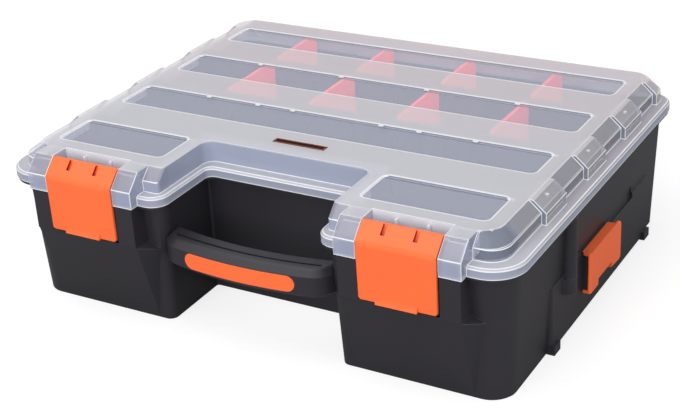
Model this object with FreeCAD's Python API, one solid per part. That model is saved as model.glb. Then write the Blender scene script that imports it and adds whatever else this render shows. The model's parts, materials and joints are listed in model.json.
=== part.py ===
import FreeCAD, Part
import math
import os

# Workshop organizer case: a black tub with two front pods and a carry handle between them,
# a clear hinged lid with sunk windows, two over-centre latches, two side clips and loose dividers.
# Millimetres. +X right, +Y towards the hinge, +Z up, origin under the middle of the case.

Vector = FreeCAD.Vector

# Case body
case_width = 420.0
case_depth = 325.0
seam_height = 99.4
lid_height = 25.3
seam_gap = 0.2
wall = 2.2
floor_thickness = 2.4
inside_flats = 4

# Rim corners and the hand notch between the pods
rim_outer_radius = 25.0
rim_rear_radius = 18.0
rim_inner_radius = 13.0
rim_notch_radius = 6.0
notch_width = 128.6
notch_depth = 63.7

# How far the rim stands out over the tub wall, and how far the wall leans in towards the floor
side_overhang = 6.5
front_overhang = 7.5
rear_overhang = 3.5
notch_overhang = 3.7
wall_draft = 4.5
tub_outer_radius = 22.5
tub_rear_radius = 17.0
tub_inner_radius = 11.0
tub_notch_radius = 2.0

# Tub rim: a flat flange under the lid and a lip inside it
flange_thickness = 2.2
flange_inset = 0.8
lip_height = 4.3
lip_thickness = 2.0

# Latch bosses on the pod fronts
boss_notch_inset = 20.5
boss_side_inset = 33.8
boss_proud = 6.5
boss_height = 32.2
boss_flare = 11.0
boss_foot_sink = 1.0
boss_step = 0.8
boss_inside_sink = 6.6
pocket_drop = 7.0
latch_recess = 3.5
catch_rib_reach = 1.6
catch_rib_height = 3.0
catch_rib_drop = 16.0

# Lid
lid_wall = 2.0
skirt_height = 8.0
skirt_edge = 1.6
body_side_inset = 7.3
body_front_inset = 9.0
body_rear_inset = 2.6
body_rear_lean = 2.9
body_notch_inset = 6.0
body_notch_step = 4.0
body_outer_radius = 18.0
body_rear_radius = 15.0
body_inner_radius = 3.0
body_notch_radius = 9.0
chamfer_run = 9.7
chamfer_drop = 8.7
zone_recess = 3.7
zone_front_recess = 0.8
zone_margin = 2.0
window_recess = 1.0
window_radius = 5.0
window_side_margin = 24.7
window_row_margin = 20.2
window_rear_margin = 22.3
window_front_margin = 13.6
window_notch_margin = 18.7
label_width = 44.0
label_depth = 7.0
label_thickness = 0.8
label_offset = 1.8

# Latch blocks on the lid, the latches and their pins
block_overlap = 1.3
block_proud = 7.5
block_slope_run = 12.0
block_slope_drop = 11.9
latch_bay_inset = 0.8
cheek_width = 16.8
latch_side_gap = 0.7
latch_proud = 1.0
latch_thickness = 2.5
latch_drop = 29.5
latch_tab_proud = 2.0
latch_tab_share = 0.525
latch_tab_height = 5.0
latch_edge_radius = 1.2
latch_corner_radius = 2.6
latch_bend_thickness = 1.4
latch_web_drop = 2.6
latch_nose_reach = 1.0
latch_nose_height = 3.0
latch_nose_inset = 5.0
latch_knuckle_radius = 3.2
latch_pin_radius = 1.5
latch_pin_back = 13.5
latch_pin_drop = 4.5
latch_groove_share = 0.407
latch_groove_width = 3.4
latch_groove_length = 8.5
latch_groove_depth = 2.0
latch_rib_width = 1.6
latch_rib_reach = 3.4

# Rear hinge
hinge_inset = 100.0
hinge_standoff = 6.0
hinge_rise = 1.6
hinge_radius = 4.5
hinge_pin_radius = 2.0
hinge_lid_length = 26.0
hinge_ear_length = 10.0
hinge_end_gap = 0.4
hinge_gusset_height = 18.0
hinge_ear_flats = 6
running_clearance = 0.05
seat_clearance = 0.02

# Partition walls and dividers
front_wall_offset = 27.0
row_pitch = 77.25
row_wall_thickness = 2.0
row_wall_gap = 0.3
top_gap = 0.8
slot_pitch = 39.0
slot_count = 7
slot_rib = 1.2
slot_rib_stop = 14.0
divider_thickness = 1.6
divider_gap = 0.3
divider_bead = 3.0
divider_corner = 6.0
divider_steps = (-3, -1, 1, 3)

# Side connection: lower panel, link post, clip and its pin
panel_proud = 4.0
panel_front = -80.0
panel_rear = 122.0
panel_bottom = 3.0
panel_top = 54.0
panel_radius = 3.0
foot_length = 11.0
foot_height = 7.0
foot_proud = 2.5
post_place = -51.5
post_radius = 6.5
post_bottom = 38.0
post_shoe_height = 12.0
post_shoe_radius = 8.0
finger_pocket_length = 52.0
finger_pocket_overlap = 4.0
finger_pocket_height = 10.0
finger_pocket_depth = 1.0
clip_front = -24.0
clip_length = 61.0
clip_bottom = 22.0
clip_height = 33.0
clip_thickness = 2.2
clip_flange = 2.2
clip_lip = 1.2
clip_lip_start = 0.66
clip_corner_radius = 4.0
clip_notch_front = 16.0
clip_notch_length = 28.0
clip_notch_height = 5.0
clip_pin_radius = 1.2
clip_ear_radius = 2.8
clip_lug_radius = 2.0
clip_face_gap = 0.2
clip_panel_gap = 0.3

# Carry handle
handle_bottom = 52.2
handle_height = 23.6
handle_proud = 3.5
handle_bow_radius = 320.0
handle_depth = 20.5
handle_end_radius = 20.0
handle_end_sink = 4.0
handle_edge = 5.0
handle_groove_back = 9.5
handle_groove_width = 2.0
handle_groove_depth = 1.6
handle_groove_length = 122.0
inlay_length = 92.0
inlay_height = 12.6
inlay_depth = 1.5
inlay_proud = 0.4
inlay_clearance = 0.1

# Places worked out from the sizes above
case_height = seam_height + lid_height
rim_half = case_width / 2
rim_front = -case_depth / 2
rim_rear = case_depth / 2
notch_half = notch_width / 2
notch_back = rim_front + notch_depth
front_wall_place = notch_back + front_wall_offset
middle_row_wall_place = front_wall_place + row_pitch
rear_row_wall_place = middle_row_wall_place + row_pitch
plateau_front = rim_front + body_front_inset + chamfer_run
plateau_rear = rim_rear - body_rear_inset - body_rear_lean
latch_bay_back = plateau_front + latch_bay_inset
rear_row_window = (rear_row_wall_place + window_row_margin, plateau_rear - window_rear_margin)
middle_row_window = (middle_row_wall_place + window_row_margin, rear_row_wall_place - window_row_margin)
front_row_window = (front_wall_place + window_row_margin, middle_row_wall_place - window_row_margin)
pod_window = (plateau_front + window_front_margin, front_wall_place - window_row_margin)
label_place = front_wall_place + label_offset
handle_front = rim_rear + handle_proud
flange_top = seam_height - seam_gap
tub_top = flange_top - flange_thickness
lip_top = flange_top + lip_height
skirt_top = seam_height + skirt_height
cavity_roof = case_height - lid_wall
window_floor = case_height - window_recess
window_roof = window_floor - lid_wall
inner_top = window_roof - top_gap
boss_left = notch_half + boss_notch_inset
boss_right = rim_half - boss_side_inset
pod_center = (boss_left + boss_right) / 2
block_left = boss_left - block_overlap
block_right = boss_right + block_overlap
boss_front = rim_front - boss_proud
boss_bottom = tub_top - boss_height + flange_thickness
block_front = rim_front - block_proud
latch_face = block_front - latch_proud
latch_back = latch_face + latch_thickness
latch_bottom = seam_height - latch_drop
latch_edge_y = block_front + block_slope_run - latch_proud
latch_edge_z = case_height - latch_side_gap / 2
crease = case_height - block_slope_drop
chamfer_start = case_height - chamfer_drop
latch_opening = block_right - block_left - 2 * cheek_width
latch_width = latch_opening - 2 * latch_side_gap
latch_tab_width = latch_tab_share * latch_width
latch_groove_spacing = latch_groove_share * latch_width
latch_pin_y = block_front + latch_pin_back
latch_pin_z = case_height - latch_pin_drop
recess_face = boss_front + latch_recess
hinge_y = rim_rear + hinge_standoff
hinge_z = seam_height + hinge_rise
tub_foot_half = rim_half - side_overhang - wall_draft
panel_face = tub_foot_half + panel_proud
handle_reach = notch_half + notch_overhang + handle_end_sink
clip_pin_x = panel_face + clip_panel_gap + clip_ear_radius
clip_pin_y = clip_front + clip_ear_radius
clip_top = clip_bottom + clip_height
clip_back = clip_pin_x + clip_lug_radius + clip_face_gap
clip_face = clip_back + clip_thickness
far = 2 * case_width
tiny = 0.01


# Case outlines: the U shape seen from above, as eight corners with a radius each
def outline(side, front, rear, notch, radii, notch_step=0):
    outer, back, inner, hollow = radii
    half = rim_half - side
    y_front = rim_front + front
    y_rear = rim_rear - rear
    gap = notch_half + notch
    y_notch = notch_back + notch + notch_step
    return [
        (half, y_rear, back),
        (-half, y_rear, back),
        (-half, y_front, outer),
        (-gap, y_front, inner),
        (-gap, y_notch, hollow),
        (gap, y_notch, hollow),
        (gap, y_front, inner),
        (half, y_front, outer),
    ]


rim_radii = (rim_outer_radius, rim_rear_radius, rim_inner_radius, rim_notch_radius)
tub_radii = (tub_outer_radius, tub_rear_radius, tub_inner_radius, tub_notch_radius)
body_radii = (body_outer_radius, body_rear_radius, body_inner_radius, body_notch_radius)


# The same radii after the outline moves inwards: outside corners tighten, notch corners open
def inset_radii(radii, amount):
    tightest = 1.0
    outer, back, inner, hollow = radii
    return (
        max(outer - amount, tightest),
        max(back - amount, tightest),
        max(inner - amount, tightest),
        hollow + amount,
    )


def rim_outline(inset):
    return outline(inset, inset, inset, inset, inset_radii(rim_radii, inset))


# The tub's notch corners keep their radius from the floor to the rim
def tub_outline(inset, lean):
    amount = inset + lean * wall_draft
    outer, back, inner, hollow = inset_radii(tub_radii, amount)
    return outline(
        side_overhang + amount,
        front_overhang + amount,
        rear_overhang + amount,
        notch_overhang + amount,
        (outer, back, inner, tub_notch_radius + inset),
    )


# Raised part of the lid at one height: chamfered along its sides and front, leaning at its rear
def body_outline(side_inset, front_inset, rear_inset, z):
    run = chamfer_run * max(z - chamfer_start, 0) / chamfer_drop
    lean = body_rear_lean * (z - skirt_top) / (case_height - skirt_top)
    return outline(
        body_side_inset + side_inset + run,
        body_front_inset + front_inset + run,
        body_rear_inset + rear_inset + lean,
        body_notch_inset + rear_inset,
        inset_radii(body_radii, rear_inset),
        body_notch_step,
    )


# Start, centre and end of the arc in one corner of an outline
def corner_arc(corners, index, z):
    x, y, radius = corners[index]
    before = corners[index - 1]
    after = corners[(index + 1) % len(corners)]
    corner = Vector(x, y, z)
    to_before = (Vector(before[0], before[1], z) - corner).normalize()
    to_after = (Vector(after[0], after[1], z) - corner).normalize()
    half_angle = to_before.getAngle(to_after) / 2
    reach = radius / math.tan(half_angle)
    inward = (to_before + to_after).normalize()
    center = corner + inward * (radius / math.sin(half_angle))
    return corner + to_before * reach, center, corner + to_after * reach, center - inward * radius


# Closed wire at one height from corners with radii, with an arc in each corner
def rounded_wire(corners, z):
    arcs = [corner_arc(corners, index, z) for index in range(len(corners))]
    edges = []
    for index, (start, center, end, middle) in enumerate(arcs):
        follows = arcs[(index + 1) % len(arcs)]
        edges.append(Part.Arc(start, middle, end).toShape())
        edges.append(Part.LineSegment(end, follows[0]).toShape())
    return Part.Wire(edges)


# The same outline with a few flats in each corner, for inside faces
def flatted_wire(corners, z):
    points = []
    for index in range(len(corners)):
        start, center, end, middle = corner_arc(corners, index, z)
        for step in range(inside_flats + 1):
            share = step / inside_flats * math.pi / 2
            points.append(center + (start - center) * math.cos(share) + (end - center) * math.sin(share))
    return Part.makePolygon(points + points[:1])


def lofted(sections, wire_of=rounded_wire):
    wires = [wire_of(corners, z) for corners, z in sections]
    return Part.makeLoft(wires, True, True)


def prism(corners, low, high, wire_of=rounded_wire):
    return Part.Face(wire_of(corners, low)).extrude(Vector(0, 0, high - low))


def box(x_range, y_range, z_range):
    size = (x_range[1] - x_range[0], y_range[1] - y_range[0], z_range[1] - z_range[0])
    return Part.makeBox(size[0], size[1], size[2], Vector(x_range[0], y_range[0], z_range[0]))


# Rectangle with rounded corners, seen from above
def rounded_box(x_range, y_range, z_range, radius):
    corners = [
        (x_range[1], y_range[1], radius),
        (x_range[0], y_range[1], radius),
        (x_range[0], y_range[0], radius),
        (x_range[1], y_range[0], radius),
    ]
    return prism(corners, z_range[0], z_range[1])


# Solid from a profile in the YZ plane, run along X
def side_profile(points, x_range):
    corners = [Vector(x_range[0], y, z) for y, z in points]
    face = Part.Face(Part.makePolygon(corners + corners[:1]))
    return face.extrude(Vector(x_range[1] - x_range[0], 0, 0))


# Solid from a profile in the XZ plane, run along Y
def front_profile(points, y_range):
    corners = [Vector(x, y_range[0], z) for x, z in points]
    face = Part.Face(Part.makePolygon(corners + corners[:1]))
    return face.extrude(Vector(0, y_range[1] - y_range[0], 0))


# Solid from a profile in the XY plane, run along Z
def plan_profile(points, z_range):
    corners = [Vector(x, y, z_range[0]) for x, y in points]
    face = Part.Face(Part.makePolygon(corners + corners[:1]))
    return face.extrude(Vector(0, 0, z_range[1] - z_range[0]))


def rod_x(radius, x_range, y, z):
    return Part.makeCylinder(radius, x_range[1] - x_range[0], Vector(x_range[0], y, z), Vector(1, 0, 0))


def rod_z(radius, x, y, z_range):
    return Part.makeCylinder(radius, z_range[1] - z_range[0], Vector(x, y, z_range[0]))


def mirrored(shape):
    return shape.mirror(Vector(0, 0, 0), Vector(1, 0, 0))


def with_mirrors(shapes):
    return shapes + [mirrored(shape) for shape in shapes]


def joined(shapes):
    return shapes[0].fuse(shapes[1:]).removeSplitter()


def rounded_edges(shape, radius, wanted):
    return shape.makeFillet(radius, [edge for edge in shape.Edges if wanted(edge)])


# Tub
def wall_front(z):
    return rim_front + front_overhang + wall_draft * (1 - z / tub_top)


# Swelling under a latch boss: sunk in the wall at the floor, as deep as the boss at the boss
def boss_swelling(low_inset, flare, foot_inset, face_inset):
    left = boss_left + low_inset
    right = boss_right - low_inset
    behind = rim_front + notch_depth / 2
    flare_depth = wall_front(boss_bottom) - boss_front
    sections = []
    for z in (0, boss_bottom, flange_top):
        front = wall_front(0) + foot_inset
        if z:
            front = boss_front + face_inset
        points = [
            (left - flare, behind),
            (left - flare, front + flare_depth),
            (left, front),
            (right, front),
            (right + flare, front + flare_depth),
            (right + flare, behind),
        ]
        if not flare:
            points = [(left, behind), (left, front), (right, front), (right, behind)]
        corners = [Vector(x, y, z) for x, y in points]
        sections.append(Part.makePolygon(corners + corners[:1]))
    return Part.makeLoft(sections, True, True)


# Dark pocket beside a boss: it falls away from the boss corner and is open up to the flange
def boss_pocket(edge, outwards):
    return front_profile(
        [
            (edge, flange_top),
            (edge, boss_bottom),
            (edge + outwards * (boss_flare + wall), boss_bottom - pocket_drop),
            (edge + outwards * (boss_flare + wall), flange_top),
        ],
        (boss_front - wall, rim_front + notch_depth / 2),
    )


def tub_boss():
    swelling = boss_swelling(0, boss_flare, boss_foot_sink, boss_step)
    swelling = swelling.cut([boss_pocket(boss_left, -1), boss_pocket(boss_right, 1)])
    face = box((boss_left, boss_right), (boss_front, boss_front + boss_step + wall), (boss_bottom, flange_top))
    return swelling.fuse(face)


# Flat recess in the boss for the latch, with the rib that the latch nose snaps under
def latch_seat():
    half = latch_opening / 2
    lowest = latch_bottom - 2 * latch_side_gap
    span = (pod_center - half, pod_center + half)
    return box(span, (boss_front - wall, recess_face), (lowest, seam_height))


def catch_rib():
    half = latch_opening / 2
    top = seam_height - catch_rib_drop
    points = [
        (recess_face + wall / 2, top - catch_rib_height - catch_rib_reach),
        (recess_face, top - catch_rib_height),
        (recess_face - catch_rib_reach, top - catch_rib_height),
        (recess_face - catch_rib_reach, top),
        (recess_face, top + catch_rib_reach),
        (recess_face + wall / 2, top + catch_rib_reach),
    ]
    return side_profile(points, (pod_center - half, pod_center + half))


def hinge_spans(side):
    middle = side * (rim_half - hinge_inset)
    lid_half = hinge_lid_length / 2
    near = lid_half + hinge_end_gap
    outer = near + hinge_ear_length
    return middle, lid_half, near, outer


# Two tub ears carry each hinge pin, on gussets that run down the rear wall
def tub_hinge_ears():
    ears = []
    wall_line = rim_rear - rear_overhang
    low = flange_top - hinge_gusset_height
    inside = wall_line - wall
    points = [(rim_rear, flange_top), (inside, flange_top), (inside, low), (wall_line, low)]
    for step in range(hinge_ear_flats + 1):
        turn = math.pi * (step / hinge_ear_flats - 0.25)
        points.append((hinge_y + hinge_radius * math.cos(turn), hinge_z + hinge_radius * math.sin(turn)))
    for side in (-1, 1):
        middle, lid_half, near, outer = hinge_spans(side)
        for span in ((middle - outer, middle - near), (middle + near, middle + outer)):
            ears.append(side_profile(points, span))
    return ears


def hinge_bore(radius):
    bores = []
    for side in (-1, 1):
        middle, lid_half, near, outer = hinge_spans(side)
        bores.append(rod_x(radius, (middle - outer - wall, middle + outer + wall), hinge_y, hinge_z))
    return bores


# Right side: lower panel with its feet, link post and clip lug
def side_panel():
    inside = tub_foot_half - panel_radius
    body = rounded_box(
        (inside - panel_radius, panel_face),
        (panel_front, panel_rear),
        (panel_bottom, panel_top),
        panel_radius,
    )
    pieces = [body]
    for start in (panel_front, panel_rear - foot_length):
        x_range = (inside, panel_face + foot_proud)
        pieces.append(box(x_range, (start, start + foot_length), (0, foot_height)))
    return pieces


def link_post():
    x = tub_foot_half + wall_draft
    shoe_top = post_bottom + post_shoe_height
    return [
        rod_z(post_radius, x, post_place, (post_bottom, tub_top)),
        rod_z(post_shoe_radius, x - post_shoe_radius + post_radius, post_place, (post_bottom, shoe_top)),
    ]


def clip_lug():
    span = (clip_bottom + clip_flange + clip_face_gap, clip_top - clip_flange - clip_face_gap)
    y_range = (clip_pin_y - clip_lug_radius, clip_pin_y + clip_lug_radius)
    return [
        box((panel_face - wall, clip_pin_x), y_range, span),
        rod_z(clip_lug_radius, clip_pin_x, clip_pin_y, span),
    ]


def finger_pocket():
    start = clip_front + clip_length - finger_pocket_overlap
    face = tub_foot_half + wall_draft * panel_top / tub_top
    half = finger_pocket_height / 2
    z_range = (panel_top - half, panel_top + half)
    return box((face - finger_pocket_depth, face + far), (start, start + finger_pocket_length), z_range)


# Room inside the tub, which also swells into the bosses
def tub_cavity():
    lean_floor = 1 - floor_thickness / tub_top
    above = lip_top + wall
    main = lofted(
        [
            (tub_outline(wall, lean_floor), floor_thickness),
            (tub_outline(wall, 0), tub_top),
            (tub_outline(wall, 0), above),
        ],
        flatted_wire,
    )
    swelling = boss_swelling(wall, 0, boss_inside_sink, latch_recess + wall)
    above_floor = box((-far, far), (-far, far), (floor_thickness, above))
    swelling = swelling.common(above_floor)
    return main.fuse([swelling, mirrored(swelling)])


def make_tub():
    shell = lofted([(tub_outline(0, 1), 0), (tub_outline(0, 0), tub_top)])
    flange = prism(rim_outline(flange_inset), tub_top, flange_top)
    lip = prism(tub_outline(wall - lip_thickness, 0), flange_top - wall / 2, lip_top, flatted_wire)
    right = [tub_boss()] + side_panel() + link_post() + clip_lug()
    tub = joined([shell, flange, lip] + with_mirrors(right) + tub_hinge_ears())
    cuts = [latch_seat(), finger_pocket()]
    tub = tub.cut([tub_cavity()] + with_mirrors(cuts))
    tub = tub.fuse(with_mirrors([catch_rib()]))
    clip_hole = rod_z(clip_pin_radius + seat_clearance, clip_pin_x, clip_pin_y, (clip_bottom, clip_top))
    tub = tub.cut(hinge_bore(hinge_pin_radius + seat_clearance) + with_mirrors([clip_hole]))
    return tub.removeSplitter()


# Partition walls: wide inside the tub, narrower where they stand up inside the lid
def wall_shoulders():
    lean_floor = 1 - floor_thickness / tub_top
    low = rim_half - side_overhang - wall - lean_floor * wall_draft - row_wall_gap
    high = rim_half - side_overhang - wall - row_wall_gap
    lid_half = rim_half - body_side_inset - zone_recess - lid_wall - top_gap
    return low, high, lid_half


def slot_places():
    middle = (slot_count - 1) / 2
    return [(index - middle) * slot_pitch for index in range(slot_count)]


def slot_ribs(y_range, x_limit):
    ribs = []
    gap = divider_thickness / 2 + divider_gap
    for place in slot_places():
        for side in (-1, 1):
            near = place + side * gap
            far_edge = near + side * slot_rib
            span = (min(near, far_edge), max(near, far_edge))
            if x_limit[0] < span[0] and span[1] < x_limit[1]:
                ribs.append(box(span, y_range, (floor_thickness, inner_top - slot_rib_stop)))
    return ribs


def row_wall(place):
    low, high, lid_half = wall_shoulders()
    shoulder = skirt_top - lid_wall - top_gap
    slope = chamfer_drop
    half_outline = [
        (low, floor_thickness),
        (high, tub_top),
        (high, lip_top),
        (lid_half, shoulder),
        (lid_half, inner_top - slope),
        (lid_half - slope, inner_top),
    ]
    points = half_outline + [(-x, z) for x, z in reversed(half_outline)]
    half = row_wall_thickness / 2
    plate = front_profile(points, (place - half, place + half))
    ribs = slot_ribs((place - half - slot_rib, place + half + slot_rib), (-lid_half, lid_half))
    return joined([plate] + ribs)


# Right pod's rear wall, with a return that closes the pod beside the notch
def pod_wall():
    low, high, lid_half = wall_shoulders()
    shoulder = skirt_top - lid_wall - top_gap
    slope = chamfer_drop
    inner = notch_half + notch_overhang + wall_draft + wall + row_wall_gap
    lid_inner = notch_half + body_notch_inset + lid_wall + top_gap
    inner_edge = max(inner, lid_inner)
    points = [
        (inner_edge, floor_thickness),
        (low, floor_thickness),
        (high, tub_top),
        (high, lip_top),
        (lid_half, shoulder),
        (lid_half, inner_top - slope),
        (lid_half - slope, inner_top),
        (inner_edge, inner_top),
    ]
    half = row_wall_thickness / 2
    plate = front_profile(points, (front_wall_place - half, front_wall_place + half))
    notch_wall = notch_back + notch_overhang + wall_draft + wall + row_wall_gap
    lid_notch = notch_back + body_notch_inset + body_notch_step + lid_wall + top_gap
    end = max(notch_wall, lid_notch)
    back_edge = front_wall_place + half
    web = box((inner_edge, inner_edge + row_wall_thickness), (end, back_edge), (floor_thickness, inner_top))
    return joined([plate, web])


# Loose divider: a thin plate with a thicker bead along its top and cut-off top corners
def divider(x, front, rear):
    y_range = (front + divider_gap, rear - divider_gap)
    bead_low = inner_top - divider_bead
    points = [
        (y_range[0], floor_thickness),
        (y_range[1], floor_thickness),
        (y_range[1], inner_top - divider_corner),
        (y_range[1] - divider_corner, inner_top),
        (y_range[0] + divider_corner, inner_top),
        (y_range[0], inner_top - divider_corner),
    ]
    plate = side_profile(points, (x - divider_thickness / 2, x + divider_thickness / 2))
    bead_ends = (y_range[0] + divider_corner, y_range[1] - divider_corner)
    bead = box((x - divider_bead / 2, x + divider_bead / 2), bead_ends, (bead_low, inner_top))
    return joined([plate, bead])


def make_dividers():
    half = row_wall_thickness / 2
    rear_face = rim_rear - rear_overhang - wall - wall_draft
    rows = {
        "rear": (rear_row_wall_place + half, rear_face),
        "middle": (middle_row_wall_place + half, rear_row_wall_place - half),
    }
    pieces = {}
    for row, (front, rear) in rows.items():
        for number, step in enumerate(divider_steps, 1):
            pieces[f"{row}_divider_{number}"] = divider(step * slot_pitch, front, rear)
    return pieces


# Lid
def lid_windows():
    edge = rim_half - body_side_inset - window_side_margin
    spans = [((-edge, edge), rows) for rows in (rear_row_window, middle_row_window, front_row_window)]
    inner = notch_half + window_notch_margin
    spans.append(((inner, edge), pod_window))
    spans.append(((-edge, -inner), pod_window))
    return spans


def window_cuts(grow, low, high, radius):
    cuts = []
    for x_range, y_range in lid_windows():
        grown_x = (x_range[0] - grow, x_range[1] + grow)
        grown_y = (y_range[0] - grow, y_range[1] + grow)
        if radius:
            cuts.append(rounded_box(grown_x, grown_y, (low, high), radius))
        else:
            cuts.append(box(grown_x, grown_y, (low, high)))
    return cuts


def lid_body(inset, front_inset, top):
    levels = (skirt_top - lid_wall, chamfer_start, top)
    return lofted([(body_outline(inset, front_inset, inset, z), z) for z in levels])


# Sunk zones along the sides and round the front corners, one beside each window
def side_zones():
    above = case_height + zone_recess
    skin = lid_body(0, 0, above).cut(lid_body(zone_recess, zone_front_recess, above + zone_recess))
    inner = rim_half - body_side_inset - chamfer_run - 2 * zone_recess
    high = (skirt_top, case_height + far)
    zones = []
    for rows in (rear_row_window, middle_row_window, front_row_window):
        y_range = (rows[0] - zone_margin, rows[1] + zone_margin)
        zones.append(box((inner, far), y_range, high))
    corner_rear = pod_window[1] + zone_margin
    zones.append(box((inner, far), (-far, corner_rear), high))
    zones.append(box((block_right, far), (-far, plateau_front + zone_recess), high))
    zone = joined(zones[3:])
    return [skin.common(piece) for piece in zones[:3] + [zone]]


# Cheeks either side of each latch, hollow from below
def latch_cheeks():
    slope_start = block_front + block_slope_run
    root = plateau_front + lid_wall
    points = [
        (root, case_height),
        (slope_start, case_height),
        (block_front, case_height - block_slope_drop),
        (block_front, seam_height),
        (rim_front + lid_wall, seam_height),
        (rim_front + lid_wall, skirt_top),
        (root, skirt_top),
    ]
    half = latch_opening / 2
    spans = [(block_left, pod_center - half), (pod_center + half, block_right)]
    return [side_profile(points, span) for span in spans]


def cheek_hollows():
    slope_start = block_front + block_slope_run
    back = latch_pin_y + latch_pin_radius + lid_wall
    roof = case_height - 2 * lid_wall
    points = [
        (block_front + lid_wall, seam_height - lid_wall),
        (block_front + lid_wall, case_height - block_slope_drop - lid_wall),
        (slope_start, roof),
        (back, roof),
        (back, seam_height - lid_wall),
    ]
    half = latch_opening / 2 + lid_wall
    spans = [(block_left + lid_wall, pod_center - half), (pod_center + half, block_right - lid_wall)]
    return [side_profile(points, span) for span in spans]


# Bay in the front of the lid for a latch, open to the front and the top
def latch_bay(grow, low):
    half = latch_opening / 2 + grow
    return box((pod_center - half, pod_center + half), (-far, latch_bay_back + grow), (low, case_height + far))


# Thin ribs on the back wall of the bay, behind each latch
def latch_ribs():
    ribs = []
    root = latch_bay_back
    z_range = (skirt_top - lid_wall / 2, chamfer_start)
    for side in (-1, 1):
        middle = pod_center + side * latch_groove_spacing / 2
        span = (middle - latch_rib_width / 2, middle + latch_rib_width / 2)
        ribs.append(box(span, (root - latch_rib_reach, root + lid_wall / 2), z_range))
    return ribs


def lid_hinge_ears():
    ears = []
    points = [
        (rim_rear - lid_wall, seam_height),
        (hinge_y - hinge_radius, seam_height),
        (hinge_y, hinge_z),
        (hinge_y, hinge_z + hinge_radius),
        (rim_rear - lid_wall, skirt_top - lid_wall),
    ]
    for side in (-1, 1):
        middle, lid_half, near, outer = hinge_spans(side)
        span = (middle - lid_half, middle + lid_half)
        ears.append(side_profile(points, span))
        ears.append(rod_x(hinge_radius, span, hinge_y, hinge_z))
    return ears


def lid_cavity():
    below = seam_height - lid_wall
    skirt = prism(rim_outline(lid_wall), below, skirt_top - lid_wall, flatted_wire)
    inset = zone_recess + lid_wall
    front_inset = zone_front_recess + lid_wall
    sink = lid_wall / 2
    levels = (skirt_top - 2 * lid_wall, chamfer_start - sink, cavity_roof)
    sections = [(body_outline(inset, front_inset, lid_wall, z + sink), z) for z in levels]
    body = lofted(sections, flatted_wire)
    bays = with_mirrors([latch_bay(lid_wall, skirt_top - 3 * lid_wall)])
    body = body.cut(window_cuts(lid_wall, window_roof, case_height, 0) + bays)
    return [skirt, body]


def label_span(clearance):
    half = label_width / 2 + clearance
    y_range = (label_place - label_depth / 2 - clearance, label_place + label_depth / 2 + clearance)
    return (-half, half), y_range


def make_lid():
    skirt = lofted(
        [
            (rim_outline(0), seam_height),
            (rim_outline(0), skirt_top - skirt_edge),
            (rim_outline(skirt_edge), skirt_top),
        ]
    )
    body = lid_body(0, 0, case_height)
    lid = joined([skirt, body])
    lid = lid.cut(with_mirrors(side_zones() + [latch_bay(0, skirt_top)]))
    lid = lid.cut(lid_cavity())
    lid = lid.cut(window_cuts(0, window_floor, case_height + far, window_radius))
    lid = joined([lid] + with_mirrors(latch_cheeks() + latch_ribs()) + lid_hinge_ears())
    lid = lid.cut(with_mirrors(cheek_hollows()))
    half = latch_opening / 2 + lid_wall
    pin_span = (pod_center - half, pod_center + half)
    pin_bore = rod_x(latch_pin_radius + seat_clearance, pin_span, latch_pin_y, latch_pin_z)
    lid = lid.cut(with_mirrors([pin_bore]) + hinge_bore(hinge_pin_radius + running_clearance))
    x_range, y_range = label_span(seat_clearance)
    lid = lid.cut(box(x_range, y_range, (case_height - label_thickness, case_height + far)))
    return lid.removeSplitter()


def make_label():
    x_range, y_range = label_span(0)
    return box(x_range, y_range, (case_height - label_thickness, case_height))


# Right latch: a bent plate with a knuckle along its top, a nose inside and a finger tab below
def make_latch():
    half = latch_width / 2
    span = (pod_center - half, pod_center + half)
    points = [
        (latch_edge_y, latch_edge_z),
        (latch_face, crease),
        (latch_face, latch_bottom),
        (latch_back, latch_bottom),
        (latch_back, crease - latch_bend_thickness),
        (latch_pin_y, latch_pin_z - latch_web_drop),
        (latch_pin_y, latch_pin_z),
    ]
    plate = side_profile(points, span)
    plate = rounded_edges(plate, latch_corner_radius, is_low_corner)
    plate = rounded_edges(plate, latch_edge_radius, is_upright)
    knuckle = rod_x(latch_knuckle_radius, span, latch_pin_y, latch_pin_z)
    nose_top = seam_height - catch_rib_drop - catch_rib_height - catch_rib_reach
    inside = latch_back - latch_thickness / 2
    nose = side_profile(
        [
            (inside, nose_top),
            (latch_back + latch_nose_reach, nose_top),
            (latch_back, nose_top - latch_nose_height),
            (inside, nose_top - latch_nose_height),
        ],
        (span[0] + latch_nose_inset, span[1] - latch_nose_inset),
    )
    tab_half = latch_tab_width / 2
    tab = side_profile(
        [
            (inside, latch_bottom),
            (inside, latch_bottom + latch_tab_height),
            (latch_face, latch_bottom + latch_tab_height),
            (latch_face - latch_tab_proud, latch_bottom + latch_tab_proud / 2),
            (latch_face - latch_tab_proud, latch_bottom),
        ],
        (pod_center - tab_half, pod_center + tab_half),
    )
    latch = joined([plate, knuckle, nose, tab])
    bore = rod_x(latch_pin_radius + running_clearance, span, latch_pin_y, latch_pin_z)
    return latch.cut(latch_grooves() + [bore])


# Two grooves down the slope of the latch from its top edge
def latch_grooves():
    down = Vector(0, latch_face - latch_edge_y, crease - latch_edge_z).normalize()
    inwards = Vector(0, -down.z, down.y)
    top = Vector(0, latch_edge_y, latch_edge_z)
    start = top - down * latch_groove_depth
    end = top + down * latch_groove_length
    corners = [
        start - inwards * latch_groove_depth,
        start + inwards * latch_groove_depth,
        end + inwards * latch_groove_depth,
        end - inwards * latch_groove_depth,
    ]
    points = [(corner.y, corner.z) for corner in corners]
    grooves = []
    for side in (-1, 1):
        middle = pod_center + side * latch_groove_spacing / 2
        half = latch_groove_width / 2
        grooves.append(side_profile(points, (middle - half, middle + half)))
    return grooves


# Edge through the latch plate at one of its two lower corners
def is_low_corner(edge):
    low = edge.BoundBox
    return low.ZMax < latch_bottom + tiny and low.XLength < tiny


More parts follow.
